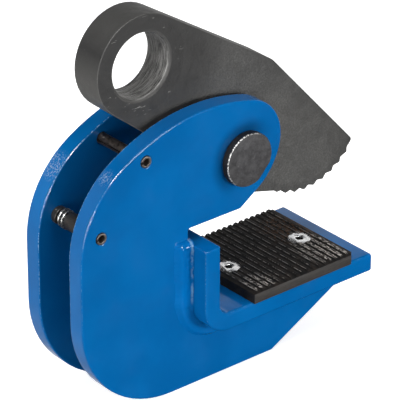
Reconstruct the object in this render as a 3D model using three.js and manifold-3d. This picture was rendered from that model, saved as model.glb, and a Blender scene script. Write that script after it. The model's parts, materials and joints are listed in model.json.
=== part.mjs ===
// Plate lifting clamp: two side plates welded to a bent jaw bracket, with a toothed cam arm
// turning on a headed pin between them and pulled shut by a tension spring.
// Millimetres, +Z up. +X points out of the jaw's mouth and +Y from the pin's head to its tail.
// The pieces are drawn about the pivot pin's axis, midway between the side plates. The last lines
// then lift the whole clamp on to its foot: the part's origin is the middle of its box's bottom.
import * as THREE from 'three';
import { mergeVertices } from 'three/addons/utils/BufferGeometryUtils.js';
import Module from 'manifold-3d';

const wasm = await Module();
wasm.setup();

// ---- Driving dimensions ----
const plateThickness = 10;
const plateGap = 24;
const plateInner = plateGap / 2;
const plateOuter = plateInner + plateThickness;
const bodyBack = -103.5;
const bodyFoot = -117.5;
const pivotAheadOfMiddle = 9.9;

const throatRoof = -28;
const bracketWidth = 70;
const bracketThickness = 10;
const bracketWallFace = -26;
const bracketWallTop = -36;
const jawFloor = -75.5;
const jawTip = 76;
const bendInner = 6;
const weldGap = 0.2;
const weldLegOnPlate = 8.5;
const weldLegOnBracket = 4;

const camThickness = 18;
const eyeCentre = new THREE.Vector2(-54.6, 61.5);
const eyeRadius = 27.1;
const eyeBore = 17.2;
const camShoulder = new THREE.Vector2(29.2, 40.3);
const camNose = new THREE.Vector2(84.4, -21.4);
const toothCentre = new THREE.Vector2(51.9, -0.5);
const toothRadius = 39.9;
const toothDepth = 1.8;
const toothPitch = 9.35;
const toothCount = 9;
const springPocketRadius = 11;
const springPocketFloor = 0.6;

const pinRadius = 10;
const pinHeadRadius = 14.4;
const pinHeadHeight = 4;
const runningClearance = 0.05;
const washerThickness = 2;
const washerRadius = 15;
const spacerRadius = 16;
const ringThickness = 1.2;
const ringRadius = 12.8;
const grooveRadius = 9.2;

const padLength = 67.7;
const padBack = -5;
const padNear = -bracketWidth / 2 - 1.3;
const padFar = 27.8;
const padThickness = 6.3;
const ridgePitch = 3.8;
const ridgeHeight = 1;
const screwY = -5.5;
const screwXs = [padBack + 9, padBack + 57];
const screwRadius = 3;
const screwHeadRadius = 6;
const screwHeadProud = 0.3;
const screwSeatGap = 0.3;

const rollPinRadius = 3;
const rollPinWall = 1.1;
const rollPinProud = 0.4;
const stopPinCentre = new THREE.Vector2(-62.8, 17.8);
const springPinCentre = new THREE.Vector2(-90.9, -14.7);
const anchorCentre = new THREE.Vector2(-16, -18);
const anchorRadius = 2.5;
const springY = 5.5;
const wireRadius = 0.8;
const coilRadius = 3.9;
const coilTurns = 13;
const loopHalfWidth = 3.2;

const degrees = Math.PI / 180;
const fineSegments = 64;
const coarseSegments = 24;
// How far a cutting tool runs past the face that it cuts through.
const overrun = 1;

// ---- Materials ----
const bluePaint = { color: 0x0066ad, roughness: 0.32, metalness: 0.0 };
const burnishedSteel = { color: 0x4b4a49, roughness: 0.5, metalness: 0.75 };
const blackenedSteel = { color: 0x2e2b29, roughness: 0.55, metalness: 0.7 };
const zincSteel = { color: 0xc9ccce, roughness: 0.35, metalness: 0.9 };
const springSteel = { color: 0xa9a9a6, roughness: 0.3, metalness: 0.95 };

const clamp = new THREE.Group();
clamp.name = 'plate_lifting_clamp';

function add(name, geometry, finish) {
  const mesh = new THREE.Mesh(geometry, new THREE.MeshStandardMaterial(finish));
  mesh.name = name;
  clamp.add(mesh);
}

// ---- Solid helpers ----
function toSolid(geometry) {
  const bare = geometry.clone();
  bare.deleteAttribute('normal');
  bare.deleteAttribute('uv');
  const mergeDistance = 1e-4;
  const merged = mergeVertices(bare, mergeDistance);
  return new wasm.Manifold(new wasm.Mesh({
    numProp: 3,
    vertProperties: new Float32Array(merged.attributes.position.array),
    triVerts: new Uint32Array(merged.index.array),
  }));
}

function toGeometry(solid) {
  const mesh = solid.getMesh();
  const geometry = new THREE.BufferGeometry();
  geometry.setAttribute('position', new THREE.BufferAttribute(mesh.vertProperties, 3));
  geometry.setIndex(new THREE.BufferAttribute(mesh.triVerts, 1));
  geometry.computeVertexNormals();
  return geometry;
}

// The first geometry with each of the others cut out of it.
function cut(body, ...tools) {
  let solid = toSolid(body);
  for (const tool of tools) {
    solid = solid.subtract(toSolid(tool));
  }
  return toGeometry(solid);
}

// An outline in X and Z, given thickness from yNear to yFar.
function slab(outline, yNear, yFar) {
  const geometry = new THREE.ExtrudeGeometry(new THREE.Shape(outline), {
    depth: yFar - yNear,
    bevelEnabled: false,
  });
  geometry.rotateX(Math.PI / 2);
  geometry.translate(0, yFar, 0);
  return geometry;
}

// A round bar along Y, centred on a point of the XZ plane.
function barY(centre, radius, yNear, yFar, segments = fineSegments) {
  const geometry = new THREE.CylinderGeometry(radius, radius, yFar - yNear, segments);
  geometry.translate(centre.x, (yNear + yFar) / 2, centre.y);
  return geometry;
}

// A body turned about the Y axis through a point of the XZ plane, from [radius, y] pairs.
function turnedY(centre, profile, segments = fineSegments) {
  const points = profile.map(([radius, y]) => new THREE.Vector2(radius, y));
  const geometry = new THREE.LatheGeometry(points, segments);
  geometry.translate(centre.x, 0, centre.y);
  return geometry;
}

// A body turned about a vertical axis, from [radius, z] pairs.
function turnedZ(x, y, profile, segments = coarseSegments) {
  const points = profile.map(([radius, z]) => new THREE.Vector2(radius, z));
  const geometry = new THREE.LatheGeometry(points, segments);
  geometry.rotateX(Math.PI / 2);
  geometry.translate(x, y, 0);
  return geometry;
}

// How many chords an arc needs so that none of them strays from it visibly.
function stepsFor(radius, sweep) {
  const chordError = 0.06;
  const largestStep = 2 * Math.acos(1 - chordError / radius);
  return Math.max(2, Math.ceil(Math.abs(sweep) / largestStep));
}

function arcPoints(centre, radius, from, to, steps = stepsFor(radius, to - from)) {
  const points = [];
  for (let i = 0; i <= steps; i += 1) {
    const angle = from + (to - from) * i / steps;
    points.push(new THREE.Vector2(
      centre.x + radius * Math.cos(angle),
      centre.y + radius * Math.sin(angle),
    ));
  }
  return points;
}

// A closed outline through [x, z, radius] corners; each corner is rounded to its radius.
function roundedOutline(corners) {
  const points = corners.map(([x, z]) => new THREE.Vector2(x, z));
  return corners.flatMap(([, , radius = 0], i) => {
    const here = points[i];
    if (radius === 0) {
      return [here];
    }
    const toBack = points.at(i - 1).clone().sub(here).normalize();
    const toNext = points[(i + 1) % points.length].clone().sub(here).normalize();
    const halfAngle = Math.acos(toBack.dot(toNext)) / 2;
    const inward = toBack.clone().add(toNext).normalize();
    const centre = here.clone().addScaledVector(inward, radius / Math.sin(halfAngle));
    const middle = inward.clone().negate().angle();
    const sweep = (Math.PI / 2 - halfAngle) * Math.sign(toNext.cross(toBack));
    return arcPoints(centre, radius, middle - sweep, middle + sweep);
  });
}

const pivot = new THREE.Vector2(0, 0);

// ---- Side plates ----
function sidePlateOutline() {
  const wallBack = bracketWallFace - bracketThickness - weldGap;
  const floorUnder = jawFloor - bracketThickness - weldGap;
  const wedgeStart = 19.5;
  const wedgeNose = 2.5;
  const wedgeSlope = Math.tan(28 * degrees);
  const wedgeEnd = wedgeStart + (floorUnder - wedgeNose - bodyFoot) / wedgeSlope;
  // The foot and the wedge under the jaw, the throat round the bracket, then the lobe and the back.
  return roundedOutline([
    [bodyBack, bodyFoot, 56],
    [wedgeStart, bodyFoot, 3],
    [wedgeEnd, floorUnder - wedgeNose],
    [wedgeEnd, floorUnder],
    [wallBack, floorUnder, bendInner + bracketThickness + weldGap],
    [wallBack, throatRoof],
    [-2.4, throatRoof, 2],
    [19.2, -13.7, 33.5],
    [30.6, 23.2, 24.8],
    [-39.1, 41.5, 102],
    [bodyBack, 3.1, 55],
  ]);
}

function sidePlate(yNear, yFar) {
  const through = (centre, radius, segments) => (
    barY(centre, radius + runningClearance, yNear - overrun, yFar + overrun, segments)
  );
  return cut(
    slab(sidePlateOutline(), yNear, yFar),
    through(pivot, pinRadius, fineSegments),
    through(stopPinCentre, rollPinRadius, coarseSegments),
    through(springPinCentre, rollPinRadius, coarseSegments),
  );
}

add('front_side_plate', sidePlate(-plateOuter, -plateInner), bluePaint);
add('rear_side_plate', sidePlate(plateInner, plateOuter), bluePaint);

// ---- Jaw bracket: one bar bent into an L ----
function bracketOutline() {
  const wallBack = bracketWallFace - bracketThickness;
  const floorUnder = jawFloor - bracketThickness;
  return roundedOutline([
    [wallBack, bracketWallTop, 1],
    [wallBack, floorUnder, bendInner + bracketThickness],
    [jawTip, floorUnder],
    [jawTip, jawFloor],
    [bracketWallFace, jawFloor, bendInner],
    [bracketWallFace, bracketWallTop, 1],
  ]);
}

function screwHole(x) {
  const radius = screwRadius + runningClearance;
  const bottom = jawFloor - bracketThickness - overrun;
  const top = jawFloor + overrun;
  return turnedZ(x, screwY, [[0, bottom], [radius, bottom], [radius, top], [0, top]]);
}

add(
  'jaw_bracket',
  cut(
    slab(bracketOutline(), -bracketWidth / 2, bracketWidth / 2),
    ...screwXs.map(screwHole),
  ),
  bluePaint,
);

// ---- Weld beads: along the back of the upright, round the bend and under the floor ----
function weldBead(side) {
  const startInset = 0.5;
  const endInset = 18;
  const inset = weldGap * 2;
  const wallBack = bracketWallFace - bracketThickness - inset;
  const floorUnder = jawFloor - bracketThickness - inset;
  const bend = bendInner + bracketThickness + inset;
  const bendX = bracketWallFace + bendInner;
  const bendZ = jawFloor + bendInner;
  const at = (x, z) => new THREE.Vector3(x, side * (plateOuter + inset), z);
  const route = new THREE.CurvePath();
  route.add(new THREE.LineCurve3(at(wallBack, bracketWallTop - startInset), at(wallBack, bendZ)));
  const bendPoints = [];
  const bendSteps = 6;
  for (let i = 0; i <= bendSteps; i += 1) {
    const angle = (180 + 90 * i / bendSteps) * degrees;
    bendPoints.push(at(bendX + bend * Math.cos(angle), bendZ + bend * Math.sin(angle)));
  }
  for (let i = 1; i < bendPoints.length; i += 1) {
    route.add(new THREE.LineCurve3(bendPoints[i - 1], bendPoints[i]));
  }
  route.add(new THREE.LineCurve3(at(bendX, floorUnder), at(jawTip - endInset, floorUnder)));
  // The section's first axis comes out along -Y and its second towards the bracket's outside.
  const bulge = 0.75;
  const section = new THREE.Shape();
  section.moveTo(0, 0);
  section.lineTo(-side * weldLegOnBracket, 0);
  section.quadraticCurveTo(
    -side * weldLegOnBracket * bulge,
    weldLegOnPlate * bulge,
    0,
    weldLegOnPlate,
  );
  section.closePath();
  return new THREE.ExtrudeGeometry(section, {
    steps: 40,
    curveSegments: 4,
    bevelEnabled: false,
    extrudePath: route,
  });
}

add('front_weld_bead', weldBead(-1), bluePaint);
add('rear_weld_bead', weldBead(1), bluePaint);

// ---- Jaw pad: a flat plate with ridges across the jaw ----
function padOutline() {
  const top = jawFloor + padThickness;
  const valley = top - ridgeHeight;
  const padFront = padBack + padLength;
  const ridgeTop = 0.42 * ridgePitch;
  const ridgeFoot = 0.8 * ridgePitch;
  const endLand = 0.5;
  const ridges = Math.floor((padLength - 2 * endLand) / ridgePitch);
  const start = padBack + (padLength - ridges * ridgePitch + (ridgePitch - ridgeFoot)) / 2;
  const flank = (ridgeFoot - ridgeTop) / 2;
  const corners = [[padBack, jawFloor], [padFront, jawFloor], [padFront, valley]];
  for (let i = ridges - 1; i >= 0; i -= 1) {
    const left = start + i * ridgePitch;
    corners.push(
      [left + ridgeFoot, valley],
      [left + ridgeFoot - flank, top],
      [left + flank, top],
      [left, valley],
    );
  }
  corners.push([padBack, valley]);
  return roundedOutline(corners);
}

// The corner of the pad nearest the mouth and the pin's head is clipped.
function padCornerCut() {
  const clip = 2.5;
  const corner = new THREE.BoxGeometry(clip * Math.SQRT2, clip * Math.SQRT2, padThickness * 4);
  corner.rotateZ(Math.PI / 4);
  corner.translate(padBack + padLength, padNear, jawFloor);
  return corner;
}

// The long top edge on the pin head's side is chamfered down to the foot of the ridges.
function padEdgeCut() {
  const side = ridgeHeight * Math.SQRT2;
  const edge = new THREE.BoxGeometry(padLength + 2 * overrun, side, side);
  edge.rotateX(Math.PI / 4);
  edge.translate(padBack + padLength / 2, padNear, jawFloor + padThickness);
  return edge;
}

const headTop = jawFloor + padThickness - ridgeHeight + screwHeadProud;
const coneFoot = headTop - screwHeadRadius + screwRadius;

function countersink(x) {
  const shank = screwRadius + screwSeatGap;
  const head = screwHeadRadius + screwSeatGap;
  const bottom = jawFloor - overrun;
  const top = jawFloor + padThickness + overrun;
  return turnedZ(x, screwY, [
    [0, bottom],
    [shank, bottom],
    [shank, coneFoot],
    [head, headTop],
    [head, top],
    [0, top],
  ]);
}

add(
  'jaw_pad',
  cut(
    slab(padOutline(), padNear, padFar),
    padCornerCut(),
    padEdgeCut(),
    ...screwXs.map(countersink),
  ),
  blackenedSteel,
);

// ---- Pad screws: countersunk, with a hexagon socket ----
function padScrew(x) {
  const socketRadius = 2.3;
  const socketDepth = 2.4;
  const rimHeight = 0.3;
  const shankEnd = jawFloor - bracketThickness + 1;
  const body = turnedZ(x, screwY, [
    [0, shankEnd],
    [screwRadius, shankEnd],
    [screwRadius, coneFoot],
    [screwHeadRadius, headTop - rimHeight],
    [screwHeadRadius, headTop],
    [0, headTop],
  ]);
  const socket = new THREE.CylinderGeometry(socketRadius, socketRadius, socketDepth * 2, 6);
  socket.rotateX(Math.PI / 2);
  socket.translate(x, screwY, headTop);
  return cut(body, socket);
}

add('inner_pad_screw', padScrew(screwXs[0]), zincSteel);
add('outer_pad_screw', padScrew(screwXs[1]), zincSteel);

// ---- Cam arm: lifting eye, hub and toothed nose in one thick plate ----
function camOutline() {
  const toShoulder = camShoulder.clone().sub(eyeCentre);
  const upperSlope = toShoulder.angle() - Math.asin(eyeRadius / toShoulder.length());
  const lowerSlope = 142 * degrees;
  const quarter = 90 * degrees;
  const full = 360 * degrees;
  const eyeRim = arcPoints(
    eyeCentre, eyeRadius, lowerSlope + quarter, upperSlope - full + quarter,
  );
  // Teeth: a short flank out to each tip, then a longer one back to the root before the next.
  // The roots creep towards their own tips from the nose inwards, so the flanks grow more even.
  const noseAngle = -34;
  const firstRootShare = 0.7;
  const rootShareChange = 0.25;
  const toothPoint = (angle, radius) => [
    toothCentre.x + radius * Math.cos(angle * degrees),
    toothCentre.y + radius * Math.sin(angle * degrees),
  ];
  const teeth = [];
  for (let i = 0; i < toothCount; i += 1) {
    const rootShare = firstRootShare - rootShareChange * i / toothCount;
    teeth.push(
      toothPoint(noseAngle - (i + rootShare) * toothPitch, toothRadius - toothDepth),
      toothPoint(noseAngle - (i + 1) * toothPitch, toothRadius),
    );
  }
  // Shoulder, nose, teeth, smooth underside, the ear for the spring's anchor, and the back.
  const outline = roundedOutline([
    [eyeRim.at(-1).x, eyeRim.at(-1).y],
    [camShoulder.x, camShoulder.y, 14],
    [camNose.x, camNose.y, 1.8],
    ...teeth,
    [31.5, -34.3],
    [19, -30.8, 20],
    [0, -26.5, 20],
    [anchorCentre.x - 2, anchorCentre.y - 8.5, 6],
    [anchorCentre.x - 7.5, anchorCentre.y, 6],
    [-29, 6, 12],
    [eyeRim[0].x, eyeRim[0].y],
  ]);
  return [...eyeRim.slice(1, -1), ...outline];
}

// The eye's bore with both rims chamfered.
function eyeCutter() {
  const chamfer = 1.2;
  const half = camThickness / 2;
  const flare = eyeBore + chamfer + overrun;
  return turnedY(eyeCentre, [
    [0, -half - overrun],
    [flare, -half - overrun],
    [eyeBore, -half + chamfer],
    [eyeBore, half - chamfer],
    [flare, half + overrun],
    [0, half + overrun],
  ]);
}

function camArm() {
  const half = camThickness / 2;
  return cut(
    slab(camOutline(), -half, half),
    eyeCutter(),
    barY(pivot, pinRadius + runningClearance, -half - overrun, half + overrun),
    barY(anchorCentre, springPocketRadius, springPocketFloor, half + overrun, coarseSegments),
    barY(
      anchorCentre, anchorRadius + runningClearance, -half - overrun, half + overrun, coarseSegments,
    ),
  );
}

add('cam_arm', camArm(), burnishedSteel);

// ---- Pivot pin and what holds it ----
const stackPlay = 0.1;
const grooveY = plateOuter + washerThickness + stackPlay;
const camHalf = camThickness / 2;

function pivotPin() {
  const face = -plateOuter;
  const headChamfer = 0.4;
  const tailChamfer = 1;
  const grooveEnd = grooveY + ringThickness + 2 * stackPlay;
  const tail = grooveEnd + 2;
  const body = turnedY(pivot, [
    [0, face - pinHeadHeight],
    [pinHeadRadius - headChamfer, face - pinHeadHeight],
    [pinHeadRadius, face - pinHeadHeight + headChamfer],
    [pinHeadRadius, face],
    [pinRadius, face],
    [pinRadius, grooveY],
    [grooveRadius, grooveY],
    [grooveRadius, grooveEnd],
    [pinRadius, grooveEnd],
    [pinRadius, tail - tailChamfer],
    [pinRadius - tailChamfer, tail],
    [0, tail],
  ]);
  // One small flat is cut across the head's rim, stopping just short of the side plate.
  const flatDepth = 1.3;
  const flatBearing = 43 * degrees;
  const flatStandOff = 0.3;
  const tool = pinHeadRadius;
  const flat = new THREE.BoxGeometry(tool, 2 * (pinHeadHeight - flatStandOff), 2 * tool);
  flat.translate(pinHeadRadius - flatDepth + tool / 2, face - pinHeadHeight, 0);
  flat.rotateY(flatBearing);
  return cut(body, flat);
}

function washer(inner, outer, yNear, yFar, segments = 48) {
  return cut(
    barY(pivot, outer, yNear, yFar, segments),
    barY(pivot, inner, yNear - overrun, yFar + overrun),
  );
}

function retainingRing() {
  const near = grooveY + stackPlay;
  const gapWidth = 7;
  const gap = new THREE.BoxGeometry(gapWidth, 3 * ringThickness, grooveRadius);
  gap.translate(0, near, -ringRadius);
  return cut(
    washer(grooveRadius + stackPlay, ringRadius, near, near + ringThickness),
    gap,
  );
}

add('pivot_pin', pivotPin(), blackenedSteel);
add(
  'front_spacer_washer',
  washer(pinRadius + runningClearance, spacerRadius, -plateInner + stackPlay, -camHalf - stackPlay),
  zincSteel,
);
add(
  'rear_spacer_washer',
  washer(pinRadius + runningClearance, spacerRadius, camHalf + stackPlay, plateInner - stackPlay),
  zincSteel,
);
add(
  'pin_washer',
  washer(pinRadius + runningClearance, washerRadius, plateOuter + stackPlay / 2, grooveY - stackPlay),
  zincSteel,
);
add('retaining_ring', retainingRing(), springSteel);

// ---- Split roll pins, through both plates ----
function rollPin(centre) {
  const end = plateOuter + rollPinProud;
  const slitWidth = 0.7;
  const slit = new THREE.BoxGeometry(rollPinRadius * 2, 2 * (end + overrun), slitWidth);
  slit.translate(centre.x - rollPinRadius, 0, centre.y);
  return cut(
    barY(centre, rollPinRadius, -end, end, coarseSegments),
    barY(centre, rollPinRadius - rollPinWall, -end - overrun, end + overrun, coarseSegments),
    slit,
  );
}

add('stop_pin', rollPin(stopPinCentre), springSteel);
add('spring_pin', rollPin(springPinCentre), springSteel);

// ---- Collars that hold the spring's loops in place on their pin ----
function springCollar(yNear, yFar) {
  const wall = 1.45;
  const bore = rollPinRadius + 3 * runningClearance;
  return cut(
    barY(springPinCentre, bore + wall, yNear, yFar, coarseSegments),
    barY(springPinCentre, bore, yNear - overrun, yFar + overrun, coarseSegments),
  );
}

add(
  'front_spring_collar',
  springCollar(-plateInner + stackPlay, springY - loopHalfWidth),
  blackenedSteel,
);
add(
  'rear_spring_collar',
  springCollar(springY + loopHalfWidth, plateInner - stackPlay),
  blackenedSteel,
);

// ---- Tension spring: two turns round the pin, a coiled body and one turn round the anchor ----
function tensionSpring() {
  const along = anchorCentre.clone().sub(springPinCentre);
  const span = along.length();
  const direction = along.normalize();
  const place = (run, rise, y) => new THREE.Vector3(
    springPinCentre.x + direction.x * run - direction.y * rise,
    springY + y,
    springPinCentre.y + direction.y * run + direction.x * rise,
  );
  const points = [];
  const perTurn = 12;
  const loopPlay = 0.5;
  const pinLoop = rollPinRadius + loopPlay + wireRadius;
  const loopTurns = 2;
  const loopPitch = 2.2;
  for (let i = 0; i <= loopTurns * perTurn; i += 1) {
    const angle = -90 * degrees + 360 * degrees * (i / perTurn - loopTurns);
    const y = loopPitch * (loopTurns / 2 - i / perTurn);
    points.push(place(pinLoop * Math.cos(angle), pinLoop * Math.sin(angle), y));
  }
  const coilStart = 12;
  const coilEnd = span - coilStart - 1;
  for (let i = 0; i <= coilTurns * perTurn; i += 1) {
    const turn = i / perTurn;
    const angle = -90 * degrees + 360 * degrees * turn;
    const run = coilStart + (coilEnd - coilStart) * turn / coilTurns;
    points.push(place(run, coilRadius * Math.sin(angle), coilRadius * Math.cos(angle)));
  }
  // The hook is most of one turn, drifting across the anchor as it goes round.
  const hookLoop = anchorRadius + loopPlay + wireRadius;
  const hookSteps = 10;
  const hookSweep = 300 * degrees;
  for (let i = 0; i <= hookSteps; i += 1) {
    const angle = -90 * degrees + hookSweep * i / hookSteps;
    const y = 2 * i / hookSteps - 1;
    points.push(place(span + hookLoop * Math.cos(angle), hookLoop * Math.sin(angle), y));
  }
  const wireSides = 7;
  const wire = new THREE.Shape(
    arcPoints(pivot, wireRadius, 0, 2 * Math.PI * (1 - 1 / wireSides), wireSides - 1),
  );
  return new THREE.ExtrudeGeometry(wire, {
    steps: 200,
    bevelEnabled: false,
    extrudePath: new THREE.CatmullRomCurve3(points),
  });
}

add('tension_spring', tensionSpring(), springSteel);

// ---- Anchor pin pressed into the cam's ear ----
const anchorInset = 0.5;
add(
  'spring_anchor_pin',
  barY(anchorCentre, anchorRadius, -camHalf + anchorInset, camHalf - anchorInset, coarseSegments),
  springSteel,
);

// ---- The part's own frame: Z from the foot, X and Y from the middle of the clamp ----
clamp.position.set(pivotAheadOfMiddle, 0, -bodyFoot);

export default clamp;
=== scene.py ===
"""Looks of a plate lifting clamp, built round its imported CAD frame.

Metres and +Z up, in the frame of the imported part. Each CAD node is shown through a piece made
here: a softly edged copy of its own mesh, or a new mesh for the bracket, the welds and the spring.
"""

import json
import math

import bmesh
import bpy
from mathutils import Matrix, Quaternion, Vector, noise


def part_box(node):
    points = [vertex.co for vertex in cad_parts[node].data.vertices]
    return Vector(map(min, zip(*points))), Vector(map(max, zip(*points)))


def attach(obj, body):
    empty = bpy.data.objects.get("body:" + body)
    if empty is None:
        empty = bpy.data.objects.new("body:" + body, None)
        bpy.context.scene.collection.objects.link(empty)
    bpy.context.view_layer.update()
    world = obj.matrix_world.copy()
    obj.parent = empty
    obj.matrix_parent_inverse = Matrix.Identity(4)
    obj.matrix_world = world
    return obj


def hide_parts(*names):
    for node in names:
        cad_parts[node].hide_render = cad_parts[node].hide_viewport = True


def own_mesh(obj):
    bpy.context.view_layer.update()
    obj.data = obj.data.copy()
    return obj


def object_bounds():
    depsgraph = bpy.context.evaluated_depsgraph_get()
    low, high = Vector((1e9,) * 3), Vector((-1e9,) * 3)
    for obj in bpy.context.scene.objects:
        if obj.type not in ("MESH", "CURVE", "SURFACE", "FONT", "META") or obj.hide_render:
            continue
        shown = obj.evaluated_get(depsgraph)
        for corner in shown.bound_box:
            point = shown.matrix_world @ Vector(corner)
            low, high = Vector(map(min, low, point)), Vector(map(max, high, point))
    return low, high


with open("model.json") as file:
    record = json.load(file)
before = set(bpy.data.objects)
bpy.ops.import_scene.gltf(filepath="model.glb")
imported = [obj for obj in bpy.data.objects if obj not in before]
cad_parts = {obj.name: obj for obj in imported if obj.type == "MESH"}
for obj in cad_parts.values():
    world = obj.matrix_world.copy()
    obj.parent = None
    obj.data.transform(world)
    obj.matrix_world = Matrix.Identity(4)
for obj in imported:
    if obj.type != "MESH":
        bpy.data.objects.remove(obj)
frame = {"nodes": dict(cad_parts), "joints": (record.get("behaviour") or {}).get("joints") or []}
cad_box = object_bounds()

MM = 0.001
UP = Vector((0, 0, 1))
ALONG_PIN = Vector((0, 1, 0))
QUARTER_TURN = math.pi / 2


# ---- Places read from the frame ----
def joint_place(name):
    """Where a joint's axis is, in metres."""
    found = [joint for joint in frame["joints"] if joint["name"] == name]
    return Vector(found[0]["pos_m"])


def middle(node):
    """The middle of a CAD node's box."""
    low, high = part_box(node)
    return (low + high) / 2


pivot = joint_place("cam_pivot")
spring_pin = joint_place("spring_swing")
spring_anchor = middle("spring_anchor_pin")
spring_anchor.y = spring_pin.y
pad_low, pad_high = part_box("jaw_pad")
bracket_low, bracket_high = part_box("jaw_bracket")
plate_face = abs(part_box("front_side_plate")[0].y)
pin_low, pin_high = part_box("pivot_pin")
eye_centre = pivot + Vector((-54.6, 0, 61.5)) * MM
tooth_centre = pivot + Vector((51.9, 0, -0.5)) * MM

# Radii in millimetres, for the materials.
PIN_HEAD = (pin_high.x - pin_low.x) / 2 / MM
EYE_BORE = 17.2
EYE_MOUTH = 18.5
EYE_RIM = 27.1
TOOTH_ROOTS = 38.1


# ---- Node graphs ----
# The pin's head is on the front, and the clamp's back is to the left, seen from there.
FRONT = (0, -1, 0)
REAR = (0, 1, 0)
BACK = (-1, 0, 0)
UPPER_LEFT = (-0.8, 0, 0.6)
UPPER_RIGHT = (0.8, 0, 0.6)


class Graph:
    """A material's node tree, with a method for each kind of node that the materials need."""

    def __init__(self, name):
        self.material = bpy.data.materials.new(name)
        self.material.use_nodes = True
        self.tree = self.material.node_tree
        self.tree.nodes.clear()
        place = self.tree.nodes.new("ShaderNodeTexCoord").outputs["Object"]
        self.millimetres = self.vector("MULTIPLY", place, (1 / MM,) * 3)

    def node(self, kind, inputs, **settings):
        """Adds a node, sets its properties and fills its inputs with links or plain values."""
        made = self.tree.nodes.new(kind)
        for key, value in settings.items():
            setattr(made, key, value)
        for key, value in inputs.items():
            if isinstance(value, bpy.types.NodeSocket):
                self.tree.links.new(value, made.inputs[key])
            else:
                made.inputs[key].default_value = value
        return made

    def math(self, operation, a, b=0.0, clamp=False):
        made = self.node("ShaderNodeMath", {0: a, 1: b}, operation=operation, use_clamp=clamp)
        return made.outputs[0]

    def product(self, first, *others):
        """Values multiplied together."""
        for other in others:
            first = self.math("MULTIPLY", first, other)
        return first

    def vector(self, operation, a, b=(0, 0, 0)):
        made = self.node("ShaderNodeVectorMath", {0: a, 1: b}, operation=operation)
        return made.outputs["Value" if operation in ("DOT_PRODUCT", "LENGTH") else "Vector"]

    def stretched(self, x, y, z):
        """The place in millimetres, drawn out by a factor along each axis."""
        return self.vector("DIVIDE", self.millimetres, (x, y, z))

    def along(self, axis):
        """The place in millimetres along one axis: 0 for x, 1 for y and 2 for z."""
        return self.node("ShaderNodeSeparateXYZ", {0: self.millimetres}).outputs[axis]

    def way_from(self, place):
        """The way from a place to the surface, in millimetres."""
        return self.vector("SUBTRACT", self.millimetres, tuple(place / MM))

    def from_axis(self, place):
        """How far in millimetres, across the pin's direction, the surface is from a place."""
        return self.vector("LENGTH", self.vector("MULTIPLY", self.way_from(place), (1, 0, 1)))

    def beyond(self, place, direction):
        """How far in millimetres the surface is from a place along a direction."""
        return self.vector("DOT_PRODUCT", self.way_from(place), direction)

    def near(self, place, low, high):
        """1 within low millimetres of a place, falling to 0 at high."""
        return self.remap(self.vector("LENGTH", self.way_from(place)), low, high, 1.0, 0.0)

    def noise(self, size, detail=3.0, rough=0.5, place=None):
        """Cloudy noise whose lumps are about size millimetres across."""
        inputs = {
            "Vector": place or self.millimetres,
            "Scale": 1 / size,
            "Detail": detail,
            "Roughness": rough,
        }
        return self.node("ShaderNodeTexNoise", inputs).outputs[0]

    def cells(self, size, place):
        """The distance to the nearest of points scattered about size millimetres apart."""
        inputs = {"Vector": place, "Scale": 1 / size}
        return self.node("ShaderNodeTexVoronoi", inputs, feature="F1").outputs["Distance"]

    def remap(self, value, low, high, to_low=0.0, to_high=1.0):
        """Value's stretch from low to high, eased and clamped on to another stretch."""
        inputs = {0: value, 1: low, 2: high, 3: to_low, 4: to_high}
        made = self.node("ShaderNodeMapRange", inputs, interpolation_type="SMOOTHSTEP")
        return made.outputs[0]

    def mix(self, share, a, b):
        """Colour a where share is 0 and colour b where it is 1."""
        inputs = {"Factor": share, 6: with_alpha(a), 7: with_alpha(b)}
        return self.node("ShaderNodeMix", inputs, data_type="RGBA").outputs[2]

    def over(self, base, tone, *shares):
        """Base with another colour laid over it by the product of some shares."""
        return self.mix(self.product(*shares), base, tone)

    def edges(self, radius, low, high):
        """1 along edges and 0 on flats, by how far a rounded normal leans from the true one."""
        rounded = self.node("ShaderNodeBevel", {"Radius": radius * MM}, samples=6).outputs[0]
        true = self.tree.nodes.new("ShaderNodeNewGeometry").outputs["True Normal"]
        lean = self.math("SUBTRACT", 1.0, self.vector("DOT_PRODUCT", rounded, true))
        return self.remap(lean, low, high)

    def facing(self, direction, low, high):
        """1 where the surface faces a direction and 0 where it turns away."""
        normal = self.tree.nodes.new("ShaderNodeNewGeometry").outputs["Normal"]
        return self.remap(self.vector("DOT_PRODUCT", normal, direction), low, high)

    def rounding(self, direction, low, high):
        """1 on a rounded edge between a face towards a direction and the faces beside it.

        The edge begins where the surface has turned by low towards the direction, and ends at high.
        """
        towards = self.facing(direction, low, high)
        midway = self.product(towards, self.math("SUBTRACT", 1.0, towards))
        return self.remap(midway, 0.1, 0.22)

    def bump(self, height, depth, under=None):
        """Surface relief depth millimetres deep."""
        inputs = {"Height": height, "Distance": depth * MM, "Strength": 1.0}
        if under:
            inputs["Normal"] = under
        return self.node("ShaderNodeBump", inputs).outputs[0]

    def finish(self, **inputs):
        """Joins a Principled surface to the material's output."""
        named = {key.replace("_", " "): value for key, value in inputs.items()}
        surface = self.node("ShaderNodeBsdfPrincipled", named)
        self.node("ShaderNodeOutputMaterial", {"Surface": surface.outputs[0]})
        return self.material


def with_alpha(value):
    """A red, green and blue tuple with its alpha, or a link as it is."""
    if isinstance(value, tuple) and len(value) == 3:
        return (*value, 1.0)
    return value


def scaled(tone, share):
    """A colour made darker or lighter."""
    return tuple(share * part for part in tone)


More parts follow.
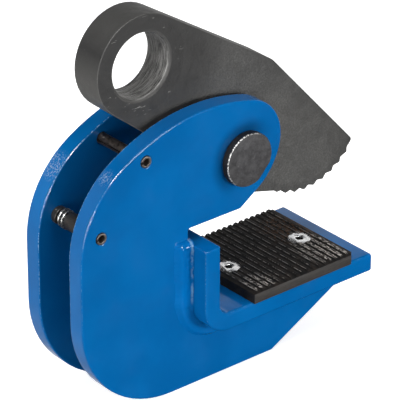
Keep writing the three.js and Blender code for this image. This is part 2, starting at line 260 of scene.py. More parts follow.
# ---- Materials ----
# Sizes of noise, reaches and depths of relief are in millimetres.
ENAMEL = (0.0005, 0.128, 0.39)
ENAMEL_DEEP = (0.0004, 0.11, 0.345)
ENAMEL_PAINTED_SHADE = (0.0003, 0.035, 0.11)
ENAMEL_RUBBED_AND_HIGHLIGHT = (0.2, 0.37, 0.56)
ENAMEL_CHIP_AND_HIGHLIGHT_PALE = (0.34, 0.58, 0.78)
PRIMER = (0.5, 0.58, 0.64)
CAM_STEEL = (0.106, 0.105, 0.1)
CAM_STEEL_CLOUD = (0.085, 0.084, 0.081)
CAM_STEEL_DARK = (0.045, 0.044, 0.042)
CAM_STEEL_BY_EYE = (0.026, 0.0255, 0.0245)
CAM_STEEL_SHEEN = (0.2, 0.197, 0.185)
CAM_STEEL_BLACK = (0.012, 0.012, 0.013)
BORE_STEEL = (0.42, 0.415, 0.4)
BARE_STEEL = (0.5, 0.49, 0.47)
OXIDE = (0.004, 0.0038, 0.0038)
OXIDE_BROWN = (0.017, 0.012, 0.009)
PAD_FRONT = (0.05, 0.046, 0.043)
CREST_RUBBED = (0.38, 0.355, 0.33)
CORNER_BRIGHT = (0.62, 0.57, 0.52)
RUST = (0.16, 0.075, 0.035)
PIN_SIDE = (0.006, 0.0055, 0.007)
PIN_FACE_DARK = (0.036, 0.035, 0.037)
PIN_FACE_PALE = (0.062, 0.061, 0.064)
PIN_PIT = (0.16, 0.155, 0.15)
WHITE_CHIP = (0.82, 0.82, 0.8)
BROWNED = (0.035, 0.03, 0.027)
BROWNED_PALE = (0.075, 0.062, 0.054)
COPPERY = (0.19, 0.165, 0.148)
ZINC = (0.95, 0.955, 0.96)
ZINC_DULL = (0.3, 0.29, 0.26)
ANCHOR_STEEL = (0.3, 0.29, 0.27)
WASHER_STEEL = (0.5, 0.5, 0.49)
WASHER_STAIN = (0.2, 0.17, 0.13)
COLLAR_STEEL = (0.05, 0.047, 0.044)
SPRING_WIRE = (0.36, 0.36, 0.35)
FLOOR_TONES = ((0.86, 0.86, 0.86), (0.9, 0.9, 0.9))
FLOOR_BOUNCE = (0.6, 0.6, 0.6)
WHITE = (1.0, 1.0, 1.0)


def enamel(
    name, seed, scuffs=(), pin_shadow_round=None, near_edge=1.0, far_edge=1.0, back_shade=0.0, tint=1.0,
    highlight_at=None,
):
    """Thick glossy blue enamel: soft waves and orange peel, edges chipped pale with painted highlight.

    Each scuff is a place on an edge and how many millimetres its rubbed patch reaches. A pin head's
    place, if given, gets a painted shadow against its upper left. near_edge and far_edge say how
    strongly the pale line of chipped paint and painted highlight shows on the edges on the pin
    head's side and on the other side, and the share for the back how much painted shade darkens the
    faces towards the back. A thin ragged streak of painted highlight runs straight up from the place
    given for it. tint makes the paint's colours lighter or darker.
    """
    graph = Graph(name)
    shifted = graph.vector("ADD", graph.millimetres, (seed, seed * 2, seed * 3))
    clouds = graph.remap(graph.noise(30, 3, 0.55, shifted), 0.35, 0.68)
    base = graph.mix(clouds, scaled(ENAMEL_DEEP, tint), scaled(ENAMEL, tint))
    # Painted shade on the faces towards the back.
    base = graph.over(base, ENAMEL_PAINTED_SHADE, graph.facing(BACK, 0.5, 0.95), back_shade)
    # Pale broken line on the edges: chipped paint and painted highlight, strongest on the upper left.
    line = chipped_and_highlight_line(graph, shifted, near_edge, far_edge)
    back_edge = graph.remap(graph.beyond(pivot, UPPER_LEFT), 34, 66)
    pale = graph.mix(back_edge, ENAMEL_RUBBED_AND_HIGHLIGHT, ENAMEL_CHIP_AND_HIGHLIGHT_PALE)
    strength = graph.math("ADD", graph.product(back_edge, 0.45), 0.15)
    base = graph.over(base, pale, line, strength)
    # Painted shadow of the pin head, darkening the paint against its upper left.
    if pin_shadow_round:
        near_head = graph.remap(graph.from_axis(pin_shadow_round), PIN_HEAD + 0.6, PIN_HEAD + 8.6, 1.0, 0.0)
        shadow_side = graph.remap(graph.beyond(pin_shadow_round, UPPER_LEFT), -9, 8)
        base = graph.over(base, ENAMEL_PAINTED_SHADE, near_head, shadow_side, 0.75)
    for place, reach in scuffs:
        patch = graph.near(place, reach * 0.2, reach)
        off_front = graph.remap(graph.facing(FRONT, 0.5, 0.9), 0, 1, 1.0, 0.0)
        flaked = graph.remap(graph.noise(0.9, 4, 0.7, shifted), 0.52, 0.58)
        base = graph.over(base, PRIMER, patch, off_front, flaked, 0.5)
    # A painted highlight streak up the weld's ridge.
    if highlight_at:
        base = graph.over(base, ENAMEL_RUBBED_AND_HIGHLIGHT, ragged_highlight_streak(graph, shifted, highlight_at), 0.6)
    dust = graph.remap(graph.noise(14, 5, 0.65, shifted), 0.4, 0.75)
    roughness = graph.math("ADD", graph.product(dust, 0.1), 0.13)
    roughness = graph.math("ADD", roughness, graph.product(line, 0.15))
    normal = brushed_relief(graph, shifted)
    return graph.finish(Base_Color=base, Roughness=roughness, Normal=normal, IOR=1.46)


def chipped_and_highlight_line(graph, shifted, near_edge, far_edge):
    """A broken pale line of chipped paint and painted highlight along the rounded edges at the front and
    at the rear.
    """
    near = graph.product(graph.rounding(FRONT, 0.3, 0.98), near_edge)
    far = graph.product(graph.rounding(REAR, 0.04, 0.75), far_edge)
    speckle = graph.remap(graph.noise(1.3, 4, 0.7, shifted), 0.47, 0.58)
    return graph.product(speckle, graph.math("MAXIMUM", near, far))


def ragged_highlight_streak(graph, shifted, foot):
    """A thin ragged line straight up from a place, for a painted highlight."""
    aside = graph.math("ABSOLUTE", graph.math("SUBTRACT", graph.along(0), foot.x / MM))
    streak = graph.remap(aside, 0.2, 1.0, 1.0, 0.0)
    ragged = graph.remap(graph.noise(6, 4, 0.6, shifted), 0.36, 0.56)
    above = graph.remap(graph.along(2), foot.z / MM, foot.z / MM + 4)
    return graph.product(streak, ragged, above)


def brushed_relief(graph, shifted):
    """Paint's soft waves, its fine orange peel and a few specks of dirt under it."""
    waves = graph.bump(graph.noise(11, 2, 0.45, shifted), 0.1)
    peel = graph.bump(graph.noise(1.3, 2, 0.5, shifted), 0.022, waves)
    specks = graph.remap(graph.cells(6.5, shifted), 0.0, 0.09, 1.0, 0.0)
    return graph.bump(specks, 0.06, peel)


def forged_steel(name):
    """The cam: dark heat-treated plate, finely mottled, scored in its eye and black at its teeth."""
    graph = Graph(name)
    from_eye = graph.from_axis(eye_centre)
    deep_in = graph.remap(from_eye, EYE_BORE + 0.1, EYE_BORE + 1.0, 1.0, 0.25)
    in_bore = graph.product(deep_in, graph.remap(from_eye, EYE_MOUTH - 0.1, EYE_MOUTH + 0.3, 1.0, 0.0))
    hatch = graph.noise(1.1, 4, 0.8, graph.stretched(9, 0.5, 9))
    scores = graph.remap(graph.noise(2.2, 3, 0.7, graph.stretched(5, 0.6, 5)), 0.6, 0.64)
    scored = graph.product(in_bore, scores)
    past_bore = graph.remap(from_eye, EYE_BORE, EYE_BORE + 0.4)
    chamfer = graph.product(past_bore, graph.remap(from_eye, EYE_MOUTH, EYE_MOUTH + 0.7, 1.0, 0.0))
    base = shaded_steel(graph, from_eye)
    base = graph.over(base, BORE_STEEL, in_bore, graph.remap(hatch, 0.36, 0.62), 0.8)
    base = graph.over(base, CAM_STEEL_BLACK, scored, 0.7)
    base = handled_steel(graph, from_eye, base)
    base = graph.over(base, CAM_STEEL_DARK, chamfer, 0.7)
    roughness = graph.remap(graph.noise(5, 4, 0.6), 0.3, 0.75, 0.48, 0.66)
    roughness = graph.math("ADD", roughness, graph.product(chamfer, 0.25))
    dents = graph.bump(graph.noise(7, 3, 0.5), 0.12)
    scale = graph.bump(graph.noise(1.3, 4, 0.65), 0.1, dents)
    hatched = graph.bump(graph.product(in_bore, hatch), 0.12, scale)
    normal = graph.bump(graph.product(scored, -1.0), 0.2, hatched)
    return graph.finish(Base_Color=base, Roughness=roughness, Metallic=0.35, Normal=normal)


def shaded_steel(graph, from_eye):
    """The cam's mottled colour, darker by the eye and at the nose, with painted sheen on the eye's rim.
    """
    clouds = graph.remap(graph.noise(13, 4, 0.6), 0.35, 0.68)
    base = graph.mix(clouds, CAM_STEEL_CLOUD, CAM_STEEL)
    mottle = graph.remap(graph.noise(1.0, 5, 0.85), 0.45, 0.54)
    base = graph.over(base, CAM_STEEL_DARK, mottle, 0.75)
    base = graph.over(base, CAM_STEEL_BY_EYE, graph.remap(from_eye, 34, 60, 0.92, 0.0))
    # Painted sheen where the eye's rim faces low left and up.
    low_left = graph.product(graph.facing((-0.5, 0, -0.86), -0.1, 0.9), 0.9)
    top = graph.product(graph.facing((0.1, 0, 1), 0.2, 0.9), 0.5)
    on_rim = graph.remap(from_eye, EYE_RIM - 1.1, EYE_RIM - 0.2)
    base = graph.over(base, CAM_STEEL_SHEEN, graph.math("MAXIMUM", low_left, top), on_rim)
    to_nose = graph.remap(graph.beyond(pivot, UPPER_RIGHT), 32, 58, 0.0, 0.6)
    base = graph.over(base, CAM_STEEL_DARK, to_nose)
    by_teeth = graph.remap(graph.from_axis(tooth_centre), TOOTH_ROOTS - 3.6, TOOTH_ROOTS - 1.6)
    off_front = graph.remap(graph.facing(FRONT, -0.2, 0.2), 0, 1, 0.75, 0.2)
    return graph.over(base, CAM_STEEL_BLACK, by_teeth, off_front)


def handled_steel(graph, from_eye, base):
    """The cam's colour with bare steel on its edges and a few hair scratches, most near the eye."""
    scuffs = graph.remap(graph.noise(1.6, 5, 0.75), 0.54, 0.6)
    base = graph.over(base, BARE_STEEL, graph.edges(0.5, 0.04, 0.16), scuffs, 0.75)
    hairs = graph.remap(graph.noise(1.2, 2, 0.6, graph.stretched(5, 1, 0.8)), 0.69, 0.73)
    return graph.over(base, BARE_STEEL, hairs, graph.remap(from_eye, 23, 28, 1.0, 0.12), 0.45)


def pad_steel(name):
    """The jaw pad: black oxide, its crests thinly rubbed and its corners knocked bright."""
    graph = Graph(name)
    top = pad_high.z / MM
    base = graph.mix(graph.remap(graph.noise(6, 4, 0.6), 0.4, 0.7), OXIDE, OXIDE_BROWN)
    height = graph.along(2)
    on_crest = graph.remap(height, top - 0.3, top - 0.02)
    rubbed = graph.remap(graph.noise(1.5, 5, 0.8, graph.stretched(1, 3, 1)), 0.44, 0.54)
    crest_edge = graph.facing((-0.7, 0, 0.7), 0.78, 0.95)
    base = graph.over(base, CREST_RUBBED, rubbed, crest_edge, on_crest)
    dashes = graph.noise(0.7, 4, 0.7, graph.stretched(1, 3.5, 1))
    mouth_corner = Vector((pad_high.x, pad_low.y, pad_high.z)) + Vector((-8, 14, 0)) * MM
    back_corner = Vector((pad_low.x, pad_low.y, pad_high.z)) + Vector((9, 7, 0)) * MM
    by_mouth = graph.near(mouth_corner, 9, 19)
    by_back = graph.near(back_corner, 4, 12)
    by_corners = graph.math("ADD", by_mouth, by_back, clamp=True)
    raised = graph.remap(height, top - 0.45, top - 0.1)
    flecks = graph.remap(dashes, 0.5, 0.57)
    base = graph.over(base, CORNER_BRIGHT, flecks, by_corners, raised, 0.85)
    by_screw = graph.near(middle("outer_pad_screw") + Vector((2, 12, 0)) * MM, 8, 22)
    base = graph.over(base, RUST, by_screw, graph.remap(dashes, 0.5, 0.58), 0.7)
    saw_marks = graph.noise(2.0, 3, 0.7, graph.stretched(8, 1, 0.7))
    paler = graph.remap(saw_marks, 0.3, 0.75, 0.6, 0.95)
    base = graph.over(base, PAD_FRONT, graph.facing(FRONT, 0.5, 0.95), paler)
    roughness = graph.remap(graph.noise(4, 3, 0.6), 0.3, 0.7, 0.5, 0.7)
    milled = graph.bump(graph.noise(1.0, 2, 0.5, graph.stretched(0.5, 7, 1)), 0.04)
    normal = graph.bump(graph.noise(0.7, 2, 0.6), 0.03, milled)
    return graph.finish(Base_Color=base, Roughness=roughness, Normal=normal, Specular_IOR_Level=0.2)


def pin_steel(name):
    """The pivot pin: blackened, faced on a lathe, its head's rim chipped white."""
    graph = Graph(name)
    radius = graph.from_axis(pivot)
    clouds = graph.remap(graph.noise(3.5, 5, 0.65), 0.38, 0.64)
    face_tone = graph.mix(clouds, PIN_FACE_DARK, PIN_FACE_PALE)
    base = graph.mix(graph.facing(FRONT, 0.8, 0.97), PIN_SIDE, face_tone)
    by_rim = graph.remap(radius, PIN_HEAD - 0.7, PIN_HEAD - 0.5)
    on_front = graph.facing(FRONT, 0.3, 0.6)
    knocked = graph.remap(graph.noise(1.3, 5, 0.8), 0.46, 0.54)
    exposed = graph.remap(graph.beyond(pivot, UPPER_LEFT), -3, 11, 0.05, 0.75)
    base = graph.over(base, WHITE_CHIP, by_rim, on_front, knocked, exposed)
    pits = graph.remap(graph.noise(0.9, 3, 0.6), 0.62, 0.7)
    base = graph.over(base, PIN_PIT, pits, 0.35)
    roughness = graph.remap(graph.noise(2.5, 3, 0.6), 0.3, 0.7, 0.45, 0.65)
    turned = graph.bump(graph.math("SINE", graph.product(radius, 9.0)), 0.008)
    normal = graph.bump(graph.noise(1.2, 4, 0.6), 0.06, turned)
    return graph.finish(Base_Color=base, Roughness=roughness, Metallic=0.3, Normal=normal)


def roll_pin_steel(name):
    """A split roll pin: browned, with coppery ends on the pin head's side."""
    graph = Graph(name)
    clouds = graph.remap(graph.noise(2.0, 4, 0.65), 0.4, 0.65)
    brown = graph.mix(clouds, BROWNED, BROWNED_PALE)
    worn = graph.remap(graph.noise(0.9, 4, 0.7), 0.4, 0.6, 0.35, 1.0)
    base = graph.over(brown, COPPERY, graph.facing(FRONT, 0.3, 0.7), worn)
    roughness = graph.remap(graph.noise(1.5, 3, 0.6), 0.3, 0.7, 0.25, 0.5)
    normal = graph.bump(graph.noise(0.6, 3, 0.6), 0.02)
    return graph.finish(Base_Color=base, Roughness=roughness, Metallic=0.7, Normal=normal)


def bright_steel(
    name, tint, tarnish, tarnish_share, size, metallic=0.9, smooth=0.26, dark_below=None,
):
    """Plated or drawn steel: fine scratches, cloudy roughness and a little tarnish.

    Its clouds are about size millimetres across. Below a height given in millimetres, if any, it
    is black.
    """
    graph = Graph(name)
    stain = graph.remap(graph.noise(size, 4, 0.65), 0.5, 0.75, 0.0, tarnish_share)
    base = graph.mix(stain, tint, tarnish)
    grain = graph.remap(graph.noise(size / 6, 3, 0.6), 0.3, 0.75)
    base = graph.over(base, scaled(tint, 0.55), grain, 0.2)
    if dark_below:
        below_height = graph.remap(graph.along(2), dark_below, dark_below + 0.6, 1.0, 0.0)
        base = graph.over(base, OXIDE, below_height, 0.93)
    roughness = graph.remap(graph.noise(size / 2, 3, 0.6), 0.3, 0.7, smooth, smooth + 0.22)
    normal = graph.bump(graph.noise(size / 8, 3, 0.6), 0.02)
    return graph.finish(Base_Color=base, Roughness=roughness, Metallic=metallic, Normal=normal)


# ---- Meshes ----
JOIN_WITHIN = 0.002 * MM
FLAT_WITHIN = math.radians(0.5)
SLIVER = 0.12 * MM
SHARP_FROM = math.radians(32)


def cleaned(node):
    """A CAD node's mesh with its corners joined, its flat triangles merged and no sliver edges."""
    mesh = bmesh.new()
    mesh.from_mesh(frame["nodes"][node].data)
    bmesh.ops.remove_doubles(mesh, verts=mesh.verts, dist=JOIN_WITHIN)
    bmesh.ops.dissolve_limit(mesh, angle_limit=FLAT_WITHIN, verts=mesh.verts, edges=mesh.edges)
    bmesh.ops.dissolve_degenerate(mesh, dist=SLIVER, edges=mesh.edges)
    return mesh


def placed(mesh, name):
    """Puts a mesh in the scene as an object."""
    data = bpy.data.meshes.new(name)
    mesh.to_mesh(data)
    mesh.free()
    piece = bpy.data.objects.new(name, data)
    bpy.context.scene.collection.objects.link(piece)
    return piece


def shown(mesh, name, material, body, node):
    """Puts a mesh in the scene as a finished piece that rides on a body in place of a CAD node."""
    piece = placed(mesh, name)
    piece.data.shade_smooth()
    piece.data.materials.append(material)
    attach(piece, body)
    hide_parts(node)
    return piece


def soften(piece, radius, segments=4, past_facets=False):
    """Rounds a piece's sharp edges, past the short facets of its curves if asked to."""
    bevel = piece.modifiers.new("edges", "BEVEL")
    bevel.width = radius * MM
    bevel.segments = segments
    bevel.limit_method = "ANGLE"
    bevel.angle_limit = SHARP_FROM
    bevel.harden_normals = True
    bevel.use_clamp_overlap = not past_facets
    bevel.miter_outer = "MITER_ARC"
    if past_facets:
        flats = piece.modifiers.new("flats", "WEIGHTED_NORMAL")
        flats.mode = "FACE_AREA"
        flats.weight = 100


def softened_copy(node, name, material, slot, radius, body="frame", **options):
    """A softly edged stand-in for one CAD node."""
    soften(shown(cleaned(node), name, material, body, node), radius, **options)


def sweep(rings):
    """A closed skin through rings of points, capped at both ends."""
    mesh = bmesh.new()
    made = [[mesh.verts.new(point) for point in ring] for ring in rings]
    count = len(made[0])
    for near, far in zip(made, made[1:]):
        for i in range(count):
            j = (i + 1) % count
            mesh.faces.new((near[i], near[j], far[j], far[i]))
    mesh.faces.new(reversed(made[0]))
    mesh.faces.new(made[-1])
    bmesh.ops.recalc_face_normals(mesh, faces=mesh.faces)
    return mesh


def wire_rings(points, radius, sides):
    """Round rings along a path, turned as little as possible from one to the next."""
    rings = []
    heading = (points[1] - points[0]).normalized()
    side = heading.orthogonal().normalized()
    for i, point in enumerate(points):
        before = points[max(i - 1, 0)]
        after = points[min(i + 1, len(points) - 1)]
        turned = (after - before).normalized()
        side = heading.rotation_difference(turned) @ side
        heading = turned
        ring = []
        for k in range(sides):
            turn = Quaternion(heading, 2 * math.pi * k / sides)
            ring.append(point + turn @ side * radius)
        rings.append(ring)
    return rings


# ---- Jaw bracket ----
BAR_THICKNESS = 10 * MM
BEND_RADIUS = 16 * MM
BAR_EDGE = 1.6 * MM
BAR_EDGE_LEAST = 0.2 * MM
SAWN_EDGE = 0.6 * MM
HOLE_RADIUS = 3.05 * MM
HOLE_SIDES = 32
CORNER_STEPS = 6
END_STEPS = 4
BAR_STEPS_PER_MM = 0.7


def bar_path(start, end, steps_per_mm):
    """Stations down the bar's back, round its bend and along under its floor.

    Each is the run so far, the whole run, a place on the bar's outside and the way out of it.
    """
    bend_x = bracket_low.x + BEND_RADIUS
    bend_z = bracket_low.z + BEND_RADIUS
    down = start - bend_z
    bend = BEND_RADIUS * QUARTER_TURN
    total = down + bend + end - bend_x
    steps = int(total / MM * steps_per_mm)
    stations = []
    for i in range(steps + 1):
        run = total * i / steps
        turn = math.pi + min(max((run - down) / BEND_RADIUS, 0.0), QUARTER_TURN)
        way = Vector((math.cos(turn), 0, math.sin(turn)))
        place = Vector((bend_x, 0, bend_z)) + way * BEND_RADIUS
        place.z += max(down - run, 0.0)
        place.x += max(run - down - bend, 0.0)
        stations.append((run, total, place, way))
    return stations


def bar_ring(place, way, inset):
    """The bar's section, a rectangle with rounded corners, drawn in from its sides by inset."""
    radius = max(BAR_EDGE - inset, BAR_EDGE_LEAST)
    half = bracket_high.y - inset - radius
    outer = inset + radius
    inner = BAR_THICKNESS - inset - radius
    ring = []
    for first, (side, reach) in enumerate(((1, outer), (-1, outer), (-1, inner), (1, inner))):
        for k in range(CORNER_STEPS + 1):
            turn = QUARTER_TURN * (first + k / CORNER_STEPS)
            across = side * half + radius * math.cos(turn)
            inwards = reach - radius * math.sin(turn)
            ring.append(place - way * inwards + ALONG_PIN * across)
    return ring


def bent_bar():
    """The bracket: one rolled bar bent into an L, with rounded long edges and sawn ends."""
    stations = bar_path(bracket_high.z - SAWN_EDGE, bracket_high.x - SAWN_EDGE, BAR_STEPS_PER_MM)
    top, top_way = stations[0][2:]
    tip, tip_way = stations[-1][2:]
    rings = []
    for k in range(END_STEPS):
        turn = QUARTER_TURN * k / END_STEPS
        lift = UP * SAWN_EDGE * math.cos(turn)
        rings.append(bar_ring(top + lift, top_way, SAWN_EDGE * (1 - math.sin(turn))))
    rings += [bar_ring(place, way, 0) for run, total, place, way in stations]
    for k in range(END_STEPS):
        turn = QUARTER_TURN * (k + 1) / END_STEPS
        ahead = Vector((SAWN_EDGE * math.sin(turn), 0, 0))
        rings.append(bar_ring(tip + ahead, tip_way, SAWN_EDGE * (1 - math.cos(turn))))
    return drilled(sweep(rings), [middle("inner_pad_screw"), middle("outer_pad_screw")])


def drilled(mesh, places):
    """The mesh with an upright hole cut through it at each place."""
    blank = placed(mesh, "blank")
    cutters = []
    for place in places:
        drill = bmesh.new()
        bmesh.ops.create_cone(
            drill, cap_ends=True, segments=HOLE_SIDES, radius1=HOLE_RADIUS, radius2=HOLE_RADIUS,
            depth=4 * BAR_THICKNESS, matrix=Matrix.Translation((place.x, place.y, bracket_low.z)),
        )
        cutter = placed(drill, "drill")
        cut = blank.modifiers.new("hole", "BOOLEAN")
        cut.operation = "DIFFERENCE"
        cut.solver = "EXACT"
        cut.object = cutter
        cutters.append(cutter)
    evaluated = bpy.context.evaluated_depsgraph_get()
    result = bmesh.new()
    result.from_object(blank, evaluated)
    for piece in [blank] + cutters:
        bpy.data.meshes.remove(piece.data)
    return result


# ---- Welds ----
BEAD_ON_PLATE = 9.8 * MM
BEAD_ON_BRACKET = 3.2 * MM
BEAD_UNDER_FLOOR = 0.75
BEAD_ABOVE_BAR = 2.6 * MM
BEAD_SHORT_OF_TIP = 17 * MM
BEAD_SUNK = 0.5 * MM
BEAD_BLUNT_START = 1.6 * MM
BEAD_KNOBBLY_START = 9 * MM
BEAD_THIN_END = 40 * MM
BEAD_FLANK = 0.38
BEAD_RIDGE = 0.96
BEAD_RIDGE_WIDTH = 0.13
RIPPLE_PITCH = 2.4 * MM
STEPS_ACROSS = 16
BEAD_STEPS_PER_MM = 1.6


def unevenness(run, spacing, across, side):
    """Smooth noise along a bead with spacing millimetres between its lumps, from about -1 to 1."""
    return noise.noise(Vector((run / MM / spacing, across, side)))


def bead_size(run, total, way, side):
    """The bead's size at one station: blunt at its start, slim under the floor, thin at its end."""
    start = math.sqrt(1 - (1 - min(1.0, run / BEAD_BLUNT_START)) ** 2)
    end = math.sin(min(1.0, (total - run) / BEAD_THIN_END) * QUARTER_TURN)
    slimmer = 1 + (BEAD_UNDER_FLOOR - 1) * math.sqrt(max(0.0, -way.z))
    ripple = 0.012 * math.cos(run / RIPPLE_PITCH * 2 * math.pi)
    wander = 0.1 * unevenness(run, 11, side * 3, 0)
    return (0.25 + 0.75 * start) * (0.2 + 0.8 * end) * slimmer * (1 + ripple + wander)


def bead_relief(run, share, side):
    """How proud the bead stands, share of the way from the plate to the bar, with its ridge."""
    flank = (1 - math.cos(math.pi * min(1.0, share / BEAD_FLANK))) / 2
    lump = 0.07 * unevenness(run, 14, share * 3, side)
    knobs = math.exp(-run / BEAD_KNOBBLY_START) * unevenness(run, 2.2, share * 4, side * 5)
    ridge = math.exp(-((share - BEAD_RIDGE) / BEAD_RIDGE_WIDTH) ** 2)
    drops = unevenness(run, 5, share * 2, side * 9)
    stroke = unevenness(run, 30, share * 9, side * 7)
    return flank * (1 + lump + 0.34 * knobs + (0.2 + 0.25 * drops) * ridge + 0.1 * stroke)


def weld_bead(side):
    """A thick painted bead between a side plate's outer face and the bracket's outside.

    Its section runs out softly on the plate and has a lumpy ridge by the bar. It starts blunt
    at the bracket's top and thins out under the floor.
    """
    face = side * plate_face
    start = bracket_high.z + BEAD_ABOVE_BAR
    end = bracket_high.x - BEAD_SHORT_OF_TIP
    rings = []
    for run, total, place, way in bar_path(start, end, BEAD_STEPS_PER_MM):
        size = bead_size(run, total, way, side)
        ring = [place - way * BEAD_SUNK + Vector((0, face - side * BEAD_SUNK, 0))]
        for k in range(STEPS_ACROSS + 1):
            share = k / STEPS_ACROSS
            out = BEAD_ON_PLATE * (1 - share) * size
            proud = BEAD_ON_BRACKET * size * bead_relief(run, share, side)
            if k == 0:
                proud = -BEAD_SUNK
            if k == STEPS_ACROSS:
                out = -BEAD_SUNK
            ring.append(place + way * out + Vector((0, face + side * proud, 0)))
        rings.append(ring)
    return sweep(rings)


# ---- Spring ----
WIRE_RADIUS = 0.75 * MM
WIRE_SIDES = 12
STEPS_PER_TURN = 30
PIN_LOOP_RADIUS = 4.3 * MM
PIN_LOOP_PITCH = 2.6 * MM
PIN_LOOP_TURNS = 2
COIL_RADIUS = 3.9 * MM
COIL_TURNS = 13
COIL_FROM_PIN = 12 * MM
COIL_FROM_ANCHOR = 13 * MM
HOOK_RADIUS = 4.3 * MM
HOOK_SLACK = 3.2 * MM
HOOK_HALF_WIDTH = 1 * MM
HOOK_TURN = math.radians(300)
HOOK_STEPS = 25


def loops_on_pin(place):
    """The turns of wire round the spring's pin."""
    points = []
    for i in range(PIN_LOOP_TURNS * STEPS_PER_TURN + 1):
        turn = 2 * math.pi * (i / STEPS_PER_TURN - PIN_LOOP_TURNS) - QUARTER_TURN
        across = PIN_LOOP_PITCH * (PIN_LOOP_TURNS / 2 - i / STEPS_PER_TURN)
        points.append(place(PIN_LOOP_RADIUS * math.cos(turn), PIN_LOOP_RADIUS * math.sin(turn), across))
    return points


def coiled_body(place, span):
    """The close turns between the two ends."""
    length = span - COIL_FROM_ANCHOR - COIL_FROM_PIN
    steps = COIL_TURNS * STEPS_PER_TURN
    points = []
    for i in range(steps + 1):
        turn = 2 * math.pi * i / STEPS_PER_TURN - QUARTER_TURN
        run = COIL_FROM_PIN + length * i / steps
        points.append(place(run, COIL_RADIUS * math.sin(turn), COIL_RADIUS * math.cos(turn)))
    return points


def open_hook(place, span):
    """The long open loop, with room for the anchor to draw away inside it."""
    points = []
    for i in range(HOOK_STEPS + 1):
        turn = HOOK_TURN * i / HOOK_STEPS - QUARTER_TURN
        slide = HOOK_SLACK * min(1.0, 4 * max(0.0, math.cos(turn)))
        run = span + HOOK_RADIUS * math.cos(turn) + slide
        across = HOOK_HALF_WIDTH * (2 * i / HOOK_STEPS - 1)
        points.append(place(run, HOOK_RADIUS * math.sin(turn), across))
    return points


def spring_path():
    """Two turns round the pin, the coiled body and a long open loop round the anchor."""
    along = spring_anchor - spring_pin
    span = along.length
    along = along.normalized()
    lift = along.cross(ALONG_PIN).normalized()
    if lift.z < 0:
        lift = -lift

    def place(run, rise, across):
        return spring_pin + along * run + lift * rise + ALONG_PIN * across

    return joined(joined(loops_on_pin(place), coiled_body(place, span)), open_hook(place, span))


def joined(first, second, steps=10):
    """Two paths with a smooth link between them."""
    start, start_way = first[-1], first[-1] - first[-2]
    end, end_way = second[0], second[1] - second[0]
    reach = (end - start).length
    start_way = start_way.normalized() * reach
    end_way = end_way.normalized() * reach
    link = []
    for i in range(1, steps):
        t = i / steps
        from_start = (2 * t**3 - 3 * t**2 + 1) * start + (t**3 - 2 * t**2 + t) * start_way
        to_end = (-2 * t**3 + 3 * t**2) * end + (t**3 - t**2) * end_way
        link.append(from_start + to_end)
    return first + link + second


# ---- The pieces ----
REAR_SCUFF = pivot + Vector((-88.4, 17, 9.4)) * MM
FRONT_SCUFF = pivot + Vector((-82.4, -17, 12.6)) * MM
WELD_RIDGE_FROM_BAR = 0.9 * MM

# Widths of the rounded edges in millimetres.
PLATE_EDGE = 0.9
CAM_EDGE = 0.45
ANCHOR_EDGE = 0.4
PIN_EDGE = 0.35
WASHER_EDGE = 0.25
ROLL_PIN_EDGE = 0.25
PAD_EDGE = 0.22
COLLAR_EDGE = 0.2
RING_EDGE = 0.2
SCREW_EDGE = 0.12


def build_body():
    slot = "blue_paint"
    # The front plate's paint carries the pin head's painted shadow.
    front_paint = enamel(
        "enamel_front", 0, [(FRONT_SCUFF, 6)], pin_shadow_round=pivot, near_edge=0.35, far_edge=1.5,
    )
    rear_paint = enamel("enamel_rear", 41, [(REAR_SCUFF, 10)])
    # The bracket's faces towards the back are darkened as painted shade.
    bracket_paint = enamel("enamel_bracket", 83, near_edge=0.7, back_shade=0.3)
    # The weld's paint is a lighter copy of the enamel, as painted light, with a painted highlight streak
    # up its ridge.
    ridge = Vector((bracket_low.x - WELD_RIDGE_FROM_BAR, 0, bracket_low.z + BEND_RADIUS))
    weld_paint = enamel("enamel_weld", 17, near_edge=0.0, far_edge=0.0, tint=1.12, highlight_at=ridge)
    for side, paint in (("front", front_paint), ("rear", rear_paint)):
        softened_copy(
            side + "_side_plate", "painted_" + side + "_plate", paint, slot, PLATE_EDGE, past_facets=True,
        )
    shown(bent_bar(), "painted_jaw_bracket", bracket_paint, "frame", "jaw_bracket")
    for side, sign in (("front", -1), ("rear", 1)):
        name = side + "_weld"
        shown(weld_bead(sign), "painted_" + name, weld_paint, "frame", name + "_bead")


def sloped_pad():
    """The pad's mesh with its ridges' ends drawn back into a long slope on the pin head's side."""
    mesh = cleaned("jaw_pad")
    ridge_height = 1.0 * MM
    chamfer_top = pad_low.y + ridge_height
    draw_back = 1.5 * MM
    close = 0.05 * MM
    for vertex in mesh.verts:
        on_crest = vertex.co.z > pad_high.z - close
        if on_crest and abs(vertex.co.y - chamfer_top) < close:
            vertex.co.y += draw_back
    return mesh


def build_jaw():
    black = pad_steel("pad_steel")
    pad = shown(sloped_pad(), "ribbed_jaw_pad", black, "frame", "jaw_pad")
    soften(pad, PAD_EDGE, segments=2)
    screw_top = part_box("outer_pad_screw")[1].z / MM
    zinc = bright_steel(
        "zinc_screw", ZINC, ZINC_DULL, 0.3, 1.5, metallic=0.85, smooth=0.1, dark_below=screw_top - 1.0,
    )
    for node in ("inner_pad_screw", "outer_pad_screw"):
        softened_copy(node, node + "_head", zinc, "zinc_screw", SCREW_EDGE, segments=2)


def build_cam():
    forged = forged_steel("forged_steel")
    anchor = bright_steel("anchor_steel", ANCHOR_STEEL, RUST, 0.5, 3.0)
    softened_copy(
        "cam_arm", "forged_cam_arm", forged, "burnished_steel", CAM_EDGE, body="cam", past_facets=True,
    )
    softened_copy(
        "spring_anchor_pin", "spring_anchor", anchor, "roll_pin_steel", ANCHOR_EDGE, body="cam",
    )


